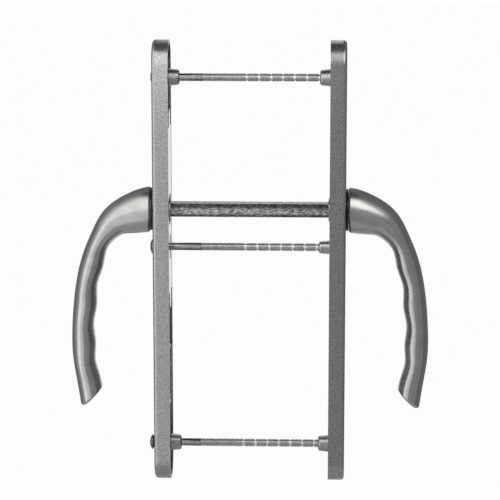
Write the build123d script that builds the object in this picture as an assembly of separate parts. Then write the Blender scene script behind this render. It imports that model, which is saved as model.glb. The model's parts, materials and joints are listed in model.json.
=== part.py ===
"""Lever handle set on two long backplates, for a profiled door with a cylinder lock.

Millimetres. X runs along the spindle, with the screw heads at -X. Y is across the plates and Z is up.
The origin lies on the spindle's axis, midway between the rims of the two plates. The levers hang down.
Each right-hand piece is modelled first. Left-hand pieces are mirrored in the YZ plane.
"""

import os
from math import cos, pi, radians, sin

from build123d import *

# Door and fixing positions, heights from the spindle's axis
door_thickness = 94.0
top_screw_z = 78.0
middle_screw_z = -22.5
bottom_screw_z = -142.4
cylinder_z = -92.0

# Backplates
plate_length = 264.0
plate_width = 28.0
plate_depth = 9.6
plate_corner_radius = 13.0
plate_edge_fillet = 2.2
front_wall = 2.4
side_wall = 2.0

# Screw bosses cast on the backplates
boss_diameter = 10.2
boss_end_diameter = 8.8
boss_standout = 6.0
boss_end_radius = 1.4
screw_pad_diameter = 13.0
screw_pad_height = 1.6
thread_depth = 10.5

# Cut-out for the lock cylinder and the wall round it
cylinder_head_diameter = 17.4
cylinder_body_width = 10.4
cylinder_height = 33.2
cylinder_wall = 1.6
cylinder_wall_recess = 0.5

# Spindle and the levers' hubs
spindle_side = 8.0
spindle_engagement = 15.0
spindle_chamfer = 0.6
socket_clearance = 0.06
socket_end_gap = 1.0
hub_diameter = 14.0
hub_standout = 0.6

# Bearing bushes
bush_flange_thickness = 1.6
bush_flange_step = 0.7
bush_wall = 2.3
bush_fit = 0.1
running_clearance = 0.05
lever_end_play = 0.2
bush_socket_wall = 1.8
bush_socket_height = 3.4

# Thrust washers and circlips on the hubs
washer_thickness = 1.0
washer_rim = 1.6
washer_clearance = 0.15
circlip_thickness = 1.0
circlip_groove_depth = 0.5
circlip_height = 1.4
circlip_gap = 2.6
circlip_lug_radius = 1.3
circlip_hole_radius = 0.6
circlip_play = 0.1
circlip_recess = 0.25

# Steel support plates in the hollow backs
support_thickness = 1.5
support_recess = 0.1
support_half_length = 49.0
support_side_gap = 0.5
support_hole_clearance = 0.6
support_ear_width = 10.0
support_screw_z = 54.5
support_slot_width = 6.6
support_slot_length = 16.0

# Countersunk screws of the support plates
small_screw_diameter = 2.9
small_screw_head = 5.2
small_screw_length = 6.0
small_post_diameter = 8.0
small_slot_width = 0.8
small_slot_depth = 0.5

# Break-off fixing screws
screw_diameter = 4.9
shank_diameter = 4.5
screw_head_diameter = 9.2
screw_dome_height = 1.5
screw_engagement = 8.0
shank_length = 29.0
screw_clearance = 0.25
thread_clearance = 0.1
head_clearance = 0.1
break_pitch = 7.0
break_count = 7
break_depth = 0.8
break_width = 1.4
break_tip_length = 8.6
recess_length = 4.8
recess_width = 1.1
recess_depth = 2.0
middle_head_standoff = 0.9
bottom_head_standoff = 2.0

# Threaded sleeve for the middle screw
sleeve_diameter = 8.2
sleeve_end_diameter = 7.2
sleeve_neck_diameter = 6.4
sleeve_end_radius = 1.6
sleeve_collar_height = 0.8
sleeve_fit = 0.1

# Lever: a spine in the XZ plane, measured from the plate's front, and the sections along it
neck_diameter = 26.5
neck_chamfer = 0.7
neck_length = 39.3
neck_lean = 0.245
neck_reach = 11.0
neck_drop = 2.35
shoulder_reach = 22.0
shoulder_drop = 6.8
elbow_reach = 32.8
elbow_drop = 21.5
grip_reach = 39.65
grip_drop = 45.0
bow_reach = 42.4
bow_drop = 81.7
end_reach = 36.0
end_drop = 130.0
end_lean = 0.13
grip_thickness = 13.7
grip_flare = 0.5
grip_width = 20.5
ridge_start = 28.3
groove_pitch = 24.3
groove_count = 4
groove_depth = 1.2
sections_per_groove = 4
tip_reach = 39.0
tip_drop = 115.8
tip_angle = 45.0
tip_fillet = 1.5

# Places that follow from the sizes above
rim_x = door_thickness / 2
front_x = rim_x + plate_depth
wall_x = front_x - front_wall
boss_end_x = rim_x - boss_standout
plate_end_margin = (plate_length - (top_screw_z - bottom_screw_z)) / 2
plate_top = top_screw_z + plate_end_margin
plate_bottom = bottom_screw_z - plate_end_margin
plate_middle = (plate_top + plate_bottom) / 2

support_back_x = rim_x + support_recess + support_thickness
support_width = plate_width - 2 * (side_wall + support_side_gap)

hub_end_x = rim_x - hub_standout
circlip_x = rim_x + circlip_recess
circlip_back_x = circlip_x + circlip_thickness
washer_x = circlip_back_x + circlip_play
washer_back_x = washer_x + washer_thickness
washer_diameter = hub_diameter + 2 * (washer_clearance + washer_rim)
support_hole_diameter = washer_diameter + 2 * support_hole_clearance
bush_bore = hub_diameter + 2 * running_clearance
bush_diameter = bush_bore + 2 * bush_wall
bush_end_x = washer_back_x
bush_hole_diameter = bush_diameter + 2 * bush_fit
bush_flange_x = front_x + bush_flange_thickness
lever_x = bush_flange_x + lever_end_play
spindle_end_x = rim_x + spindle_engagement

screw_tip_x = boss_end_x + screw_engagement
screw_hole_diameter = screw_diameter + 2 * screw_clearance
thread_hole_diameter = screw_diameter + 2 * thread_clearance
fixing_heights = (top_screw_z, bottom_screw_z)
support_screw_heights = (support_screw_z, -support_screw_z)


def at_x(x, sketch):
    """Places a sketch drawn in (Y, Z) on the plane across the spindle at x."""
    return Plane.YZ.offset(x) * sketch


def bar(x_from, x_to, sketch):
    """Solid along X between two places, with the sketch as its section."""
    return extrude(at_x(min(x_from, x_to), sketch), abs(x_to - x_from))


def turned(points, z=0.0):
    """Solid of revolution about a line along X at height z, from (x, radius) points."""
    return Pos(0, 0, z) * revolve(make_face(Polyline(*points, close=True)), Axis.X)


def rounded_plate(inset):
    """Outline of the backplate, drawn in by an inset."""
    size = (plate_width - 2 * inset, plate_length - 2 * inset)
    radius = min(plate_corner_radius, 0.48 * plate_width)
    return Pos(0, plate_middle) * RectangleRounded(*size, radius - inset)


def cylinder_outline(grow):
    """Profile of the lock cylinder, grown on all sides."""
    head_radius = cylinder_head_diameter / 2
    foot_radius = cylinder_body_width / 2
    foot_z = head_radius - cylinder_height + foot_radius
    head = Circle(head_radius + grow)
    body = Pos(0, foot_z / 2) * Rectangle(cylinder_body_width + 2 * grow, -foot_z)
    foot = Pos(0, foot_z) * Circle(foot_radius + grow)
    return Pos(0, cylinder_z) * (head + body + foot)


def boss(z):
    """Boss that stands on the front wall and tapers from the rim to its end."""
    base, end = boss_diameter / 2, boss_end_diameter / 2
    solid = turned([(wall_x, 0), (wall_x, base), (rim_x, base), (boss_end_x, end), (boss_end_x, 0)], z)
    return fillet(solid.edges().group_by(Axis.X)[0], boss_end_radius)


def bare_backplate():
    """Hollow plate with what both sides share: bush socket, posts and the cylinder's cut-out."""
    plate = bar(rim_x, front_x, rounded_plate(0))
    plate = fillet(plate.faces().sort_by(Axis.X)[-1].edges(), plate_edge_fillet)
    plate -= bar(rim_x, wall_x, rounded_plate(side_wall))
    plate += bar(wall_x - bush_socket_height, wall_x, Circle(bush_hole_diameter / 2 + bush_socket_wall))
    plate += bar(rim_x + cylinder_wall_recess, wall_x, cylinder_outline(cylinder_wall))
    for z in support_screw_heights:
        plate += bar(support_back_x, wall_x, Pos(0, z) * Circle(small_post_diameter / 2))
    for z in fixing_heights:
        plate += boss(z)
    plate -= bar(rim_x, front_x, Circle(bush_hole_diameter / 2))
    plate -= bar(rim_x, front_x, cylinder_outline(0))
    for z in support_screw_heights:
        tap = rim_x + support_recess + small_screw_length + thread_clearance
        plate -= bar(support_back_x, tap, Pos(0, z) * Circle(small_screw_diameter / 2 + thread_clearance))
    return plate


def countersink(z):
    """Room for a fixing screw in the head-side plate: clearance hole and cone."""
    head = screw_head_diameter / 2 + head_clearance
    hole = screw_hole_diameter / 2
    cone_end = front_x - (head - hole)
    profile = [(front_x, 0), (front_x, head), (cone_end, hole), (boss_end_x, hole), (boss_end_x, 0)]
    return turned(profile, z)


def head_side_backplate():
    """Backplate that the screws enter, before it is mirrored to -X."""
    plate = bare_backplate()
    pad = Pos(0, middle_screw_z) * Circle(screw_pad_diameter / 2)
    plate += bar(wall_x - screw_pad_height, wall_x, pad)
    for z in (*fixing_heights, middle_screw_z):
        plate -= countersink(z)
    return plate


def thread_side_backplate():
    """Backplate with the two blind threaded bosses."""
    plate = bare_backplate()
    for z in fixing_heights:
        hole = Pos(0, z) * Circle(thread_hole_diameter / 2)
        plate -= bar(boss_end_x, boss_end_x + thread_depth, hole)
    return plate


def smooth_step(t):
    """Goes from 0 to 1 with level ends."""
    t = min(max(t, 0.0), 1.0)
    return t * t * (3 - 2 * t)


def spread(start, end):
    """Even places from start up to end, about one loft section apart."""
    count = max(1, round((end - start) * sections_per_groove / groove_pitch))
    return [start + (end - start) * i / count for i in range(count)]


def lever_section(spine, distance):
    """Oval across the spine: it narrows along the neck, dips at the finger grooves and flares to the tip."""
    neck = 1 - smooth_step(distance / neck_length)
    along = (distance - ridge_start) / groove_pitch
    flare = grip_flare * smooth_step(along / groove_count)
    groove = groove_depth * (1 - cos(2 * pi * along)) / 2 if 0 < along < groove_count else 0.0
    width = grip_width + (neck_diameter - grip_width) * neck
    thickness = grip_thickness + (neck_diameter - grip_thickness) * neck + flare - groove
    centre = spine.position_at(distance, position_mode=PositionMode.LENGTH)
    ahead = spine.tangent_at(distance, position_mode=PositionMode.LENGTH)
    plane = Plane(origin=centre, x_dir=(0, 1, 0), z_dir=ahead)
    return plane * Pos(0, groove / 2) * Ellipse(width / 2, thickness / 2)


def lever():
    """Cast lever: lofted neck and grip, slanted end, turned hub and square socket."""
    spine = Spline(
        (lever_x, 0, 0),
        (front_x + neck_reach, 0, -neck_drop),
        (front_x + shoulder_reach, 0, -shoulder_drop),
        (front_x + elbow_reach, 0, -elbow_drop),
        (front_x + grip_reach, 0, -grip_drop),
        (front_x + bow_reach, 0, -bow_drop),
        (front_x + end_reach, 0, -end_drop),
        tangents=[(1, 0, -neck_lean), (-end_lean, 0, -1)],
    )
    grooves_end = ridge_start + groove_pitch * groove_count
    stations = spread(0, ridge_start) + spread(ridge_start, grooves_end)
    stations += spread(grooves_end, spine.length) + [spine.length]
    base = at_x(lever_x, Circle(neck_diameter / 2))
    body = loft([base] + [lever_section(spine, distance) for distance in stations[1:]])
    slant = radians(tip_angle)
    tip = (front_x + tip_reach, 0, -tip_drop)
    end_plane = Plane(origin=tip, x_dir=(0, 1, 0), z_dir=(-sin(slant), 0, -cos(slant)))
    body = split(body, bisect_by=end_plane, keep=Keep.BOTTOM)
    body = fillet(body.faces().sort_by(Axis.Z)[0].edges(), tip_fillet)
    rim_radius = neck_diameter / 2 + neck_chamfer
    bevel = [(lever_x - neck_chamfer, rim_radius - 3 * neck_chamfer), (lever_x - neck_chamfer, rim_radius)]
    body -= turned([*bevel, (lever_x + 2 * neck_chamfer, rim_radius)])
    body += bar(hub_end_x, lever_x, Circle(hub_diameter / 2))
    ring = Circle(hub_diameter / 2) - Circle(hub_diameter / 2 - circlip_groove_depth)
    body -= bar(circlip_x - circlip_play, circlip_back_x + circlip_play, ring)
    socket = spindle_side + 2 * socket_clearance
    body -= bar(hub_end_x, spindle_end_x + socket_end_gap, Rectangle(socket, socket))
    return body


def bush():
    """Flanged plastic bush between the lever and its plate."""
    flange = neck_diameter / 2 - neck_chamfer
    outer, bore = bush_diameter / 2, bush_bore / 2
    step = front_x + bush_flange_step
    return turned([
        (bush_end_x, bore),
        (bush_end_x, outer),
        (front_x, outer),
        (front_x, flange - bush_flange_step),
        (step, flange),
        (bush_flange_x, flange),
        (bush_flange_x, bore),
    ])


def thrust_washer():
    """Steel washer that closes the bush behind the circlip."""
    ring = Circle(washer_diameter / 2) - Circle(hub_diameter / 2 + washer_clearance)
    return bar(washer_x, washer_back_x, ring)


def circlip():
    """Open retaining ring with two eyes beside its gap, in the hub's groove."""
    inner = hub_diameter / 2 - circlip_groove_depth + running_clearance
    lug_place = inner + circlip_lug_radius - circlip_groove_depth
    lug_side = circlip_gap / 2 + circlip_lug_radius
    eyes = Pos(lug_side, -lug_place) * Circle(circlip_lug_radius)
    eyes += Pos(-lug_side, -lug_place) * Circle(circlip_lug_radius)
    ring = Circle(inner + circlip_height) + eyes
    ring -= Circle(inner)
    ring -= Pos(0, -inner - circlip_height) * Rectangle(circlip_gap, 4 * circlip_height)
    for side in (-1, 1):
        ring -= Pos(side * lug_side, -lug_place) * Circle(circlip_hole_radius)
    return bar(circlip_x, circlip_back_x, ring)


def support_plate(middle_hole):
    """Steel strip with an ear at each end, a hole for the hub and one for the middle screw."""
    strip = Rectangle(support_width, 2 * support_half_length)
    for z in support_screw_heights:
        ear_length = abs(z) - support_half_length
        ear_middle = (abs(z) - ear_length / 2) * (1 if z > 0 else -1)
        strip += Pos(0, ear_middle) * Rectangle(support_ear_width, ear_length)
        strip += Pos(0, z) * Circle(support_ear_width / 2)
    strip -= Circle(support_hole_diameter / 2)
    strip -= Pos(0, middle_screw_z) * middle_hole
    plate = bar(rim_x + support_recess, support_back_x, strip)
    for z in support_screw_heights:
        plate -= small_screw_shape(z, thread_clearance)
    return plate


def small_screw_shape(z, grow):
    """Countersunk screw body, or the room for it when grown."""
    face = rim_x + support_recess
    head, body = small_screw_head / 2 + grow, small_screw_diameter / 2 + grow
    tip = face + small_screw_length
    return turned([(face, 0), (face, head), (face + head - body, body), (tip, body), (tip, 0)], z)


def small_screw(z):
    """Countersunk screw with a plain slot."""
    face = rim_x + support_recess
    slot = Pos(0, z) * Rectangle(small_screw_head, small_slot_width)
    return small_screw_shape(z, 0) - bar(face, face + small_slot_depth, slot)


def fixing_screw(z, standoff):
    """Break-off screw: raised countersunk head, plain shank, then thread with notches to snap it at."""
    face = -front_x - standoff
    head, shank, thread = screw_head_diameter / 2, shank_diameter / 2, screw_diameter / 2
    shank_end = face + shank_length
    tip = screw_tip_x - standoff
    profile = [(face + head - shank, shank), (shank_end, shank), (shank_end + thread - shank, thread)]
    for i in reversed(range(break_count)):
        notch = tip - break_tip_length - i * break_pitch
        profile.append((notch - break_width / 2, thread))
        profile.append((notch, thread - break_depth))
        profile.append((notch + break_width / 2, thread))
    profile += [(tip - break_depth, thread), (tip, thread - break_depth)]
    dome_radius = (head**2 + screw_dome_height**2) / (2 * screw_dome_height)
    lean = head / dome_radius * 0.5
    dome_middle = (face - screw_dome_height + dome_radius * (1 - cos(lean)), dome_radius * sin(lean))
    dome = ThreePointArc((face - screw_dome_height, 0), dome_middle, (face, head))
    sides = Polyline((face, head), *profile, (tip, 0), (face - screw_dome_height, 0))
    screw = revolve(make_face([dome, sides]), Axis.X)
    for size in ((recess_length, recess_width), (recess_width, recess_length)):
        screw -= bar(face - screw_dome_height, face - screw_dome_height + recess_depth, Rectangle(*size))
    return Pos(0, 0, z) * screw


def middle_sleeve():
    """Threaded sleeve riveted in the right support plate, for the middle screw."""
    face = rim_x + support_recess
    radius, end, neck = sleeve_diameter / 2, sleeve_end_diameter / 2, sleeve_neck_diameter / 2
    bore = thread_hole_diameter / 2
    collar_end = support_back_x + sleeve_collar_height
    sleeve = turned([
        (boss_end_x, bore),
        (boss_end_x, end),
        (face, radius),
        (face, neck),
        (support_back_x, neck),
        (support_back_x, radius),
        (collar_end, radius),
        (collar_end, bore),
    ], middle_screw_z)
    mouth = sleeve.edges().filter_by(GeomType.CIRCLE).group_by(Axis.X)[0].sort_by(SortBy.RADIUS)[-1]
    return fillet(mouth, min(sleeve_end_radius, 0.9 * (end - bore)))


def spindle():
    """Square bar that turns both levers."""
    square = bar(-spindle_end_x, spindle_end_x, Rectangle(spindle_side, spindle_side))
    ends = square.faces().filter_by(Axis.X).edges()
    return chamfer(ends, spindle_chamfer)


def make_parts():
    """All pieces by node name."""
    slot = SlotOverall(support_slot_length, support_slot_width, rotation=90)
    sleeve_hole = Circle(sleeve_neck_diameter / 2 + sleeve_fit)
    right = {
        "lever": lever(),
        "bearing_bush": bush(),
        "thrust_washer": thrust_washer(),
        "circlip": circlip(),
        "upper_support_screw": small_screw(support_screw_z),
        "lower_support_screw": small_screw(-support_screw_z),
    }
    parts = {
        "left_backplate": mirror(head_side_backplate(), Plane.YZ),
        "right_backplate": thread_side_backplate(),
        "left_support_plate": mirror(support_plate(slot), Plane.YZ),
        "right_support_plate": support_plate(sleeve_hole),
    }
    for name, solid in right.items():
        parts[f"right_{name}"] = solid
        parts[f"left_{name}"] = mirror(solid, Plane.YZ)
    parts["spindle"] = spindle()
    parts["top_screw"] = fixing_screw(top_screw_z, 0.0)
    parts["middle_screw"] = fixing_screw(middle_screw_z, middle_head_standoff)
    parts["bottom_screw"] = fixing_screw(bottom_screw_z, bottom_head_standoff)
    parts["middle_screw_sleeve"] = middle_sleeve()
    return parts


def main():
    os.makedirs("parts", exist_ok=True)
    for name, shape in make_parts().items():
        solids = shape.solids()
        piece = solids[0] if len(solids) == 1 else shape
        piece.label = name
        export_step(piece, f"parts/{name}.step")
        print(name, len(solids), round(piece.volume, 1))


if __name__ == "__main__":
    main()
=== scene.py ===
"""Looks of the lever handle set: finishes, cut screw threads, studio and camera. Metres."""

import json
from math import cos, floor, pi, radians, sin

import bmesh
import bpy
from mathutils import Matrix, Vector


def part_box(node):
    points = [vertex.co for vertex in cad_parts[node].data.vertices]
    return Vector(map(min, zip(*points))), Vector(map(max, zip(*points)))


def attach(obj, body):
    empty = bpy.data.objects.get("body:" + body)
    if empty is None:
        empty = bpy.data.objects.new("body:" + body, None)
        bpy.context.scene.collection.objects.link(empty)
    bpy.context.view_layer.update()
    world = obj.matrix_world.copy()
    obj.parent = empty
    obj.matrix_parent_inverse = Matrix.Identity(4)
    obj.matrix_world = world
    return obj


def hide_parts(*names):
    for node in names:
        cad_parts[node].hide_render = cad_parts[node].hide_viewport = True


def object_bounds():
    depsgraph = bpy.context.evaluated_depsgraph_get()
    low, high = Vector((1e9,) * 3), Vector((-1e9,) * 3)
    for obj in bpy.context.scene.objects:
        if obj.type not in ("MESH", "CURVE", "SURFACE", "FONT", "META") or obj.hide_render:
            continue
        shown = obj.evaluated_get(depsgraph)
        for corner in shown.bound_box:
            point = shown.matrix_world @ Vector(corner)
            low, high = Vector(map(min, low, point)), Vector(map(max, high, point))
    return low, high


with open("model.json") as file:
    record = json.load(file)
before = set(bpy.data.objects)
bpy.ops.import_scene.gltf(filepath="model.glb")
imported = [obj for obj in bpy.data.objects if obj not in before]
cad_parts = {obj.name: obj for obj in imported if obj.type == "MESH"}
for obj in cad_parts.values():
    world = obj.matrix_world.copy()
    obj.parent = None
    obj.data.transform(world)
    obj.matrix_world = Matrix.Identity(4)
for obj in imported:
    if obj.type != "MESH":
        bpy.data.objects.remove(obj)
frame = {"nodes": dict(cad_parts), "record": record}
cad_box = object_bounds()
nodes = frame["nodes"]
mm = 0.001

# Screw threads, in the place of the plain solids
thread_pitch = 0.8 * mm
thread_depth = 0.42 * mm
thread_radius = 2.45 * mm
crest_share = 0.18
rings_per_pitch = 8
rod_segments = 32
shank_length = 29.0 * mm
head_dome = 1.5 * mm
break_pitch = 7.0 * mm
break_count = 7
break_depth = 0.8 * mm
break_width = 1.4 * mm
break_tip_length = 8.6 * mm
rod_overlap = 0.6 * mm
weld_distance = 0.001 * mm
sharp_angle = radians(40)
# The thread and notch finishes are lighter copies of the shank's zinc: painted highlight.
shank_finish, thread_highlight_finish, notch_highlight_finish = range(3)

# Spindle, whose faces are darker along their edges: painted shade, with painted reflection in the
# lighter bands
spindle_side = 8.0 * mm

# Camera, as in the photograph
camera_azimuth = radians(2.1)
camera_elevation = radians(11.0)
camera_distance = 1.3
camera_target = Vector((0.00014, 0.0, -0.02442))
camera_lens = 158.3
camera_sensor = 36.0

# Studio: a low white floor, soft light, and grey cards that only reflections see
floor_drop = 0.35
floor_size = 16.0
floor_grey = 0.85
floor_white = 0.97
world_light = 0.25
light_aim = Vector((0.0, 0.0, -0.03))
pure_white = (1.0, 1.0, 1.0, 1.0)
card_radius = 0.3
card_bottom = -0.3
card_top = 0.55
top_card_level = 0.05
low_card_level = 0.5
side_card_steps = 8
flat_card_steps = 48

# Upright cards: from and to angle in degrees, height where the light changes, light below and above it.
# Angles run from the front towards +X. The left is bright, and the front and right are so only high up.
side_cards = [
    (-165, -135, 0.05, 0.2, 0.2),
    (-135, -100, 0.05, 0.22, 0.3),
    (-100, -77, 0.05, 0.5, 0.8),
    (-77, -52, 0.05, 1.65, 1.6),
    (-52, -15, 0.05, 1.05, 1.6),
    (-15, -3, 0.05, 0.75, 2.5),
    (-3, 8, 0.16, 0.36, 1.1),
    (8, 20, 0.16, 0.32, 0.9),
    (20, 40, 0.14, 0.43, 2.4),
    (40, 60, 0.14, 0.33, 2.2),
    (60, 85, 0.16, 0.36, 0.6),
    (85, 135, 0.16, 0.22, 0.25),
    (135, 165, 0.16, 0.18, 0.2),
]


# Materials


class Shading:
    """A node material with a few helpers, so that each finish reads as a short recipe."""

    def __init__(self, name):
        self.material = bpy.data.materials.new(name)
        self.material.use_nodes = True
        self.tree = self.material.node_tree
        self.shader = self.tree.nodes["Principled BSDF"]
        self.place = self.node("ShaderNodeTexCoord").outputs["Object"]

    def node(self, kind, **settings):
        made = self.tree.nodes.new(kind)
        for key, value in settings.items():
            setattr(made, key, value)
        return made

    def link(self, source, target):
        self.tree.links.new(source, target)

    def stretched(self, scale):
        """Object coordinates, scaled along each axis."""
        mapping = self.node("ShaderNodeMapping")
        self.link(self.place, mapping.inputs["Vector"])
        mapping.inputs["Scale"].default_value = scale
        return mapping.outputs["Vector"]

    def noise(self, scale, detail, roughness=0.5, vector=None):
        """Cloudy noise from zero to one."""
        texture = self.node("ShaderNodeTexNoise")
        self.link(vector or self.place, texture.inputs["Vector"])
        texture.inputs["Scale"].default_value = scale
        texture.inputs["Detail"].default_value = detail
        texture.inputs["Roughness"].default_value = roughness
        return texture.outputs["Fac"]

    def cells(self, scale, output="Color"):
        """A colour for each cell, or the distance to its middle."""
        texture = self.node("ShaderNodeTexVoronoi")
        self.link(self.place, texture.inputs["Vector"])
        texture.inputs["Scale"].default_value = scale
        return texture.outputs[output]

    def height(self, low, high):
        """Zero at the low height, and one at the high one."""
        parts = self.node("ShaderNodeSeparateXYZ")
        self.link(self.place, parts.inputs["Vector"])
        return self.range(parts.outputs["Z"], 0.0, 1.0, low, high)

    def ramp(self, factor, stops):
        """Colour by a factor: stops are (position, colour)."""
        made = self.node("ShaderNodeValToRGB")
        self.link(factor, made.inputs["Fac"])
        elements = made.color_ramp.elements
        while len(elements) < len(stops):
            elements.new(0.5)
        for element, (position, colour) in zip(elements, stops):
            element.position = position
            element.color = (*colour, 1.0)
        return made.outputs["Color"]

    def range(self, factor, low, high, start=0.25, end=0.75):
        """Goes from low to high while the factor goes from start to end."""
        made = self.node("ShaderNodeMapRange")
        self.link(factor, made.inputs["Value"])
        made.inputs["From Min"].default_value = start
        made.inputs["From Max"].default_value = end
        made.inputs["To Min"].default_value = low
        made.inputs["To Max"].default_value = high
        return made.outputs["Result"]

    def mix(self, first, second, share):
        """First colour, darkened by a share of the second."""
        made = self.node("ShaderNodeMix", data_type="RGBA", blend_type="MULTIPLY")
        made.inputs["Factor"].default_value = share
        self.link(first, made.inputs["A"])
        self.link(second, made.inputs["B"])
        return made.outputs["Result"]

    def bump(self, height, strength, distance):
        """Surface normal over fine heights."""
        made = self.node("ShaderNodeBump")
        made.inputs["Strength"].default_value = strength
        made.inputs["Distance"].default_value = distance
        self.link(height, made.inputs["Height"])
        return made.outputs["Normal"]

    def set(self, **values):
        """Values or linked outputs for the shader's sockets, by name with _ for spaces."""
        for key, value in values.items():
            socket = self.shader.inputs[key.replace("_", " ")]
            if isinstance(value, bpy.types.NodeSocket):
                self.link(value, socket)
            else:
                socket.default_value = value
        return self.material


def grey(value, warm=0.0):
    """A neutral colour, a little warmer for a positive warm."""
    return (value * (1 + warm), value, value * (1 - warm))


def silver_paint():
    """Metallic paint: fine flakes, soft mottling and a slight orange peel."""
    s = Shading("silver_paint")
    mottle = s.ramp(s.noise(1300, 2, 0.6), [(0.3, grey(0.25)), (0.7, grey(0.49))])
    flakes = s.ramp(s.cells(2600, "Distance"), [(0.0, grey(1.15)), (0.45, grey(0.92))])
    peel = s.bump(s.noise(900, 2), 0.15, 0.05 * mm)
    return s.set(
        Base_Color=s.mix(mottle, flakes, 1.0),
        Metallic=0.9,
        Roughness=s.range(s.noise(700, 3), 0.24, 0.34),
        Normal=peel,
    )


def satin_metal():
    """Satin metal, brushed along the lever."""
    s = Shading("satin_metal")
    brush = s.noise(1.0, 4, 0.65, s.stretched((3200, 3200, 160)))
    tone = s.ramp(s.noise(160, 3), [(0.35, grey(0.44, 0.02)), (0.65, grey(0.5, 0.02))])
    lines = s.ramp(brush, [(0.3, grey(0.86)), (0.7, grey(1.0))])
    return s.set(
        Base_Color=s.mix(tone, lines, 1.0),
        Metallic=1.0,
        Roughness=s.range(brush, 0.22, 0.34),
        Normal=s.bump(brush, 0.15, 0.02 * mm),
    )


def black_plastic():
    """Glossy black plastic with faint mould marks."""
    s = Shading("black_plastic")
    tone = s.ramp(s.noise(500, 2), [(0.3, grey(0.008)), (0.7, grey(0.016))])
    return s.set(
        Base_Color=tone,
        Roughness=s.range(s.noise(1500, 3), 0.14, 0.26),
        Normal=s.bump(s.noise(1800, 2), 0.1, 0.02 * mm),
    )


def bright_steel():
    """Bright plated sheet steel with fine rolling marks."""
    s = Shading("bright_steel")
    marks = s.noise(1.0, 3, 0.6, s.stretched((900, 900, 60)))
    tone = s.ramp(marks, [(0.3, grey(0.58)), (0.7, grey(0.7))])
    return s.set(
        Base_Color=tone,
        Metallic=1.0,
        Roughness=s.range(marks, 0.12, 0.24),
        Normal=s.bump(marks, 0.08, 0.02 * mm),
    )


def spring_steel():
    """Dark phosphated spring steel, made darker still as painted shade of the hollow it sits in."""
    s = Shading("spring_steel")
    tone = s.ramp(s.noise(1800, 3), [(0.3, grey(0.02)), (0.7, grey(0.06))])
    return s.set(
        Base_Color=tone,
        Metallic=0.9,
        Roughness=s.range(s.noise(2500, 2), 0.3, 0.45),
    )


def galvanised_steel():
    """Galvanised bar: patches of light and dark grey, slightly rough, with bands of painted shade and
    painted reflection by height.
    """
    s = Shading("galvanised_steel")
    streaks = s.noise(1.0, 4, 0.75, s.stretched((420, 1300, 1300)))
    patches = s.ramp(streaks, [(0.36, grey(0.05)), (0.5, grey(0.36)), (0.66, grey(0.88))])
    spangle = s.ramp(s.cells(700), [(0.2, grey(0.75)), (0.8, grey(1.05))])
    # Painted shade and painted reflection: dark bands near the top and bottom edges, light bands
    # between them and at the very edges.
    painted_light_and_shade_bands = s.ramp(s.height(-spindle_side / 2, spindle_side / 2), [
        (0.0, grey(0.9)),
        (0.06, grey(0.1)),
        (0.16, grey(0.3)),
        (0.26, grey(1.0)),
        (0.55, grey(1.0)),
        (0.74, grey(0.2)),
        (0.95, grey(0.06)),
        (1.0, grey(0.9)),
    ])
    return s.set(
        Base_Color=s.mix(s.mix(patches, spangle, 0.6), painted_light_and_shade_bands, 0.9),
        Metallic=0.85,
        Roughness=s.range(s.noise(600, 4), 0.3, 0.55),
        Normal=s.bump(s.noise(1100, 4), 0.35, 0.08 * mm),
    )


def zinc_steel(name="zinc_steel", dark=0.18, light=0.3):
    """Zinc plating with faint cloudy marks."""
    s = Shading(name)
    tone = s.ramp(s.noise(380, 4, 0.6), [(0.3, grey(dark, -0.01)), (0.7, grey(light, -0.01))])
    return s.set(
        Base_Color=tone,
        Metallic=1.0,
        Roughness=s.range(s.noise(900, 3), 0.2, 0.32),
        Normal=s.bump(s.noise(2200, 2), 0.04, 0.02 * mm),
    )


def dress_nodes():
    """Gives every solid the finish that the record's slot names, and the sleeve a lighter zinc."""
    finishes = {
        "silver_paint": silver_paint(),
        "satin_metal": satin_metal(),
        "black_plastic": black_plastic(),
        "bright_steel": bright_steel(),
        "spring_steel": spring_steel(),
        "galvanised_steel": galvanised_steel(),
        "zinc_steel": zinc_steel(),
    }
    for part in frame["record"]["subparts"]:
        slots = nodes[part["node"]].data.materials
        slots.clear()
        slots.append(finishes[part["material_slot"]])
    nodes["middle_screw_sleeve"].data.materials[0] = zinc_steel("sleeve_zinc", dark=0.3, light=0.54)
    return finishes


# Screws


def break_places(tip):
    """Where the notches sit at which the rod can be broken off."""
    return [tip - break_tip_length - i * break_pitch for i in range(break_count)]


def rod_radius(x, turn, start, tip):
    """Radius of the threaded rod at x and a share of a turn: thread, break notches and end bevel."""
    phase = (x - start) / thread_pitch - turn
    ridge = abs(2 * (phase - floor(phase)) - 1)
    depth = thread_depth * min(1.0, max(0.0, (ridge - crest_share) / (1 - 2 * crest_share)))
    radius = thread_radius - depth
    for place in break_places(tip):
        away = abs(x - place) / (break_width / 2)
        if away < 1:
            radius = min(radius, thread_radius - break_depth * (1 - away))
    return min(radius, thread_radius - break_depth + (tip - x))


def add_rod(mesh, start, tip, height):
    """Closed threaded rod along X, added to the mesh."""
    count = round((tip - start) / thread_pitch * rings_per_pitch)
    rings = []
    for i in range(count + 1):
        x = start + (tip - start) * i / count
        ring = []
        for j in range(rod_segments):
            turn = j / rod_segments
            radius = rod_radius(x, turn, start, tip)
            place = (x, radius * cos(2 * pi * turn), height + radius * sin(2 * pi * turn))
            ring.append(mesh.verts.new(place))
        rings.append(ring)
    for lower, upper in zip(rings, rings[1:]):
        for j in range(rod_segments):
            k = (j + 1) % rod_segments
            mesh.faces.new((lower[j], lower[k], upper[k], upper[j]))
    mesh.faces.new(list(reversed(rings[0])))
    mesh.faces.new(rings[-1])


def finish_index(x, shank_end, tip):
    """Which of the screw's finishes a face at x has: plain zinc on the shank, lighter zinc as painted
    highlight on the thread and notches.
    """
    if x < shank_end:
        return shank_finish
    notched = any(abs(x - place) < break_width / 2 for place in break_places(tip))
    return notch_highlight_finish if notched else thread_highlight_finish


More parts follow.
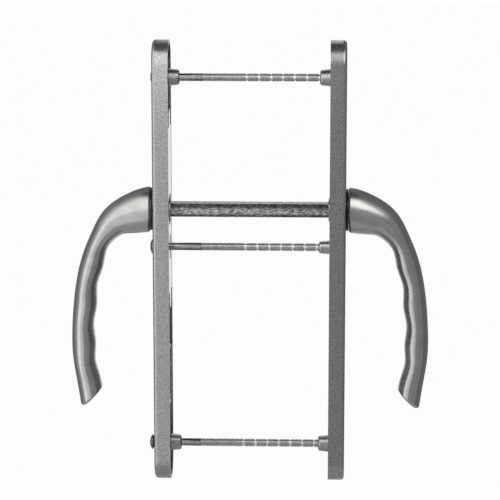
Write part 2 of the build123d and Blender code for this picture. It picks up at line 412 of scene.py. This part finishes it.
def threaded_screw(name, finishes):
    """Screw with the head and shank of the solid, and a cut thread in the place of its plain rod."""
    low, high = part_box(name)
    height = (low.z + high.z) / 2
    shank_end = low.x + head_dome + shank_length
    mesh = bmesh.new()
    mesh.from_mesh(nodes[name].data)
    bmesh.ops.remove_doubles(mesh, verts=mesh.verts, dist=weld_distance)
    everything = mesh.verts[:] + mesh.edges[:] + mesh.faces[:]
    cut = bmesh.ops.bisect_plane(
        mesh, geom=everything, plane_co=(shank_end, 0, 0), plane_no=(1, 0, 0), clear_outer=True,
    )
    rim = [item for item in cut["geom_cut"] if isinstance(item, bmesh.types.BMEdge)]
    bmesh.ops.edgeloop_fill(mesh, edges=rim)
    add_rod(mesh, shank_end - rod_overlap, high.x, height)
    bmesh.ops.recalc_face_normals(mesh, faces=mesh.faces)
    data = bpy.data.meshes.new(f"{name}_threaded")
    mesh.to_mesh(data)
    mesh.free()
    data.shade_smooth()
    data.set_sharp_from_angle(angle=sharp_angle)
    data.materials.clear()
    for finish in finishes:
        data.materials.append(finish)
    for face in data.polygons:
        face.material_index = finish_index(face.center.x, shank_end, high.x)
    screw = bpy.data.objects.new(f"{name}_threaded", data)
    bpy.context.scene.collection.objects.link(screw)
    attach(screw, "backplates")
    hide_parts(name)


# Studio and camera


def seen_factor(tree):
    """One for what the camera, mirrors and glass show, and zero for the light on the object."""
    path = tree.nodes.new("ShaderNodeLightPath")
    total = path.outputs["Is Camera Ray"]
    for name in ("Is Glossy Ray", "Is Transmission Ray"):
        add = tree.nodes.new("ShaderNodeMath")
        add.operation = "MAXIMUM"
        tree.links.new(total, add.inputs[0])
        tree.links.new(path.outputs[name], add.inputs[1])
        total = add.outputs[0]
    return total


def stage_material(name, colour, white_share):
    """Matt surface; a share of plain white shows to the camera and in reflections, so shadows stay."""
    material = bpy.data.materials.new(name)
    material.use_nodes = True
    tree = material.node_tree
    tree.nodes.remove(tree.nodes["Principled BSDF"])
    matt = tree.nodes.new("ShaderNodeBsdfDiffuse")
    matt.inputs["Color"].default_value = (*colour, 1.0)
    white = tree.nodes.new("ShaderNodeEmission")
    seen = seen_factor(tree)
    share = tree.nodes.new("ShaderNodeMath")
    share.operation = "MULTIPLY"
    share.inputs[1].default_value = white_share
    mix = tree.nodes.new("ShaderNodeMixShader")
    tree.links.new(seen, share.inputs[0])
    tree.links.new(share.outputs[0], mix.inputs["Fac"])
    tree.links.new(matt.outputs[0], mix.inputs[1])
    tree.links.new(white.outputs[0], mix.inputs[2])
    tree.links.new(mix.outputs[0], tree.nodes["Material Output"].inputs["Surface"])
    return material


def add_panel(name, places, faces, material):
    """Stage surface from corner places and faces."""
    data = bpy.data.meshes.new(name)
    data.from_pydata(places, [], faces)
    data.materials.append(material)
    panel = bpy.data.objects.new(name, data)
    bpy.context.scene.collection.objects.link(panel)
    return panel


def make_floor():
    """Level white floor, well below the object."""
    half = floor_size / 2
    height = cad_box[0][2] - floor_drop
    outline = [(-half, -half), (half, -half), (half, half), (-half, half)]
    places = [(x, y, height) for x, y in outline]
    material = stage_material("floor_white", grey(floor_grey), floor_white)
    add_panel("floor", places, [(0, 1, 2, 3)], material)


def card_material(name, level):
    """Plain white glow of a level, so a card looks the same from everywhere."""
    material = bpy.data.materials.new(name)
    material.use_nodes = True
    tree = material.node_tree
    tree.nodes.remove(tree.nodes["Principled BSDF"])
    glow = tree.nodes.new("ShaderNodeEmission")
    glow.inputs["Color"].default_value = pure_white
    glow.inputs["Strength"].default_value = level
    tree.links.new(glow.outputs[0], tree.nodes["Material Output"].inputs["Surface"])
    return material


def only_reflected(panel):
    """Hides a card from the camera and from the light on the object."""
    panel.visible_camera = False
    panel.visible_diffuse = False
    panel.visible_transmission = False
    panel.visible_shadow = False


def round_card(name, from_angle, to_angle, from_height, to_height, level):
    """Upright curved card between two angles and two heights."""
    places = []
    faces = []
    for i in range(side_card_steps + 1):
        angle = radians(from_angle + (to_angle - from_angle) * i / side_card_steps)
        x, y = card_radius * sin(angle), -card_radius * cos(angle)
        places += [(x, y, from_height), (x, y, to_height)]
        if i:
            faces.append((2 * i - 2, 2 * i, 2 * i + 1, 2 * i - 1))
    only_reflected(add_panel(name, places, faces, card_material(f"{name}_glow", level)))


def ring_of_cards():
    """Upright cards side by side round the object."""
    for i, (from_angle, to_angle, step, low_level, high_level) in enumerate(side_cards):
        round_card(f"low_card_{i}", from_angle, to_angle, card_bottom, step, low_level)
        round_card(f"high_card_{i}", from_angle, to_angle, step, card_top, high_level)


def flat_card(name, height, level):
    """Level round card above or below the object."""
    corners = range(flat_card_steps)
    turns = [2 * pi * i / flat_card_steps for i in corners]
    places = [(card_radius * cos(turn), card_radius * sin(turn), height) for turn in turns]
    only_reflected(add_panel(name, places, [tuple(corners)], card_material(f"{name}_glow", level)))


def soft_light(name, place, size, power):
    """Rectangular soft lamp that faces the object and has no mirror image in it."""
    lamp = bpy.data.lights.new(name, "AREA")
    lamp.shape = "RECTANGLE"
    lamp.size, lamp.size_y = size
    lamp.energy = power
    holder = bpy.data.objects.new(name, lamp)
    holder.location = place
    holder.rotation_euler = (light_aim - Vector(place)).to_track_quat("-Z", "Y").to_euler()
    holder.visible_glossy = False
    bpy.context.scene.collection.objects.link(holder)


def make_world():
    """White surroundings for the camera and reflections, and a plain level of light on the object."""
    world = bpy.data.worlds.new("studio")
    bpy.context.scene.world = world
    world.use_nodes = True
    tree = world.node_tree
    shade = tree.nodes["Background"]
    shade.inputs["Color"].default_value = pure_white
    strength = tree.nodes.new("ShaderNodeMapRange")
    strength.inputs["To Min"].default_value = world_light
    strength.inputs["To Max"].default_value = 1.0
    tree.links.new(seen_factor(tree), strength.inputs["Value"])
    tree.links.new(strength.outputs["Result"], shade.inputs["Strength"])


def make_camera():
    """Camera at the photograph's angle."""
    back = Vector((
        sin(camera_azimuth) * cos(camera_elevation),
        -cos(camera_azimuth) * cos(camera_elevation),
        sin(camera_elevation),
    ))
    data = bpy.data.cameras.new("camera")
    data.lens = camera_lens
    data.sensor_width = camera_sensor
    camera = bpy.data.objects.new("camera", data)
    camera.location = camera_target + camera_distance * back
    camera.rotation_euler = (-back).to_track_quat("-Z", "Y").to_euler()
    bpy.context.scene.collection.objects.link(camera)
    bpy.context.scene.camera = camera


# The scene


finishes = dress_nodes()
# Thread and notches take lighter copies of the zinc: painted highlight.
screw_finishes = (
    finishes["zinc_steel"],
    zinc_steel("thread_zinc_painted_highlight", dark=0.46, light=0.62),
    zinc_steel("notch_zinc_painted_highlight", dark=0.8, light=0.9),
)
for screw_name in ("top_screw", "middle_screw", "bottom_screw"):
    threaded_screw(screw_name, screw_finishes)

make_floor()
ring_of_cards()
flat_card("top_card", card_top, top_card_level)
flat_card("low_card", card_bottom, low_card_level)
soft_light("left_light", place=(-0.25, -0.22, 0.05), size=(0.2, 0.4), power=1.0)
soft_light("top_light", place=(-0.12, -0.5, 0.38), size=(0.5, 0.3), power=0.6)
soft_light("right_light", place=(0.45, 0.15, 0.0), size=(0.3, 0.4), power=1.0)
make_world()
make_camera()
bpy.context.scene.view_settings.view_transform = "Standard"
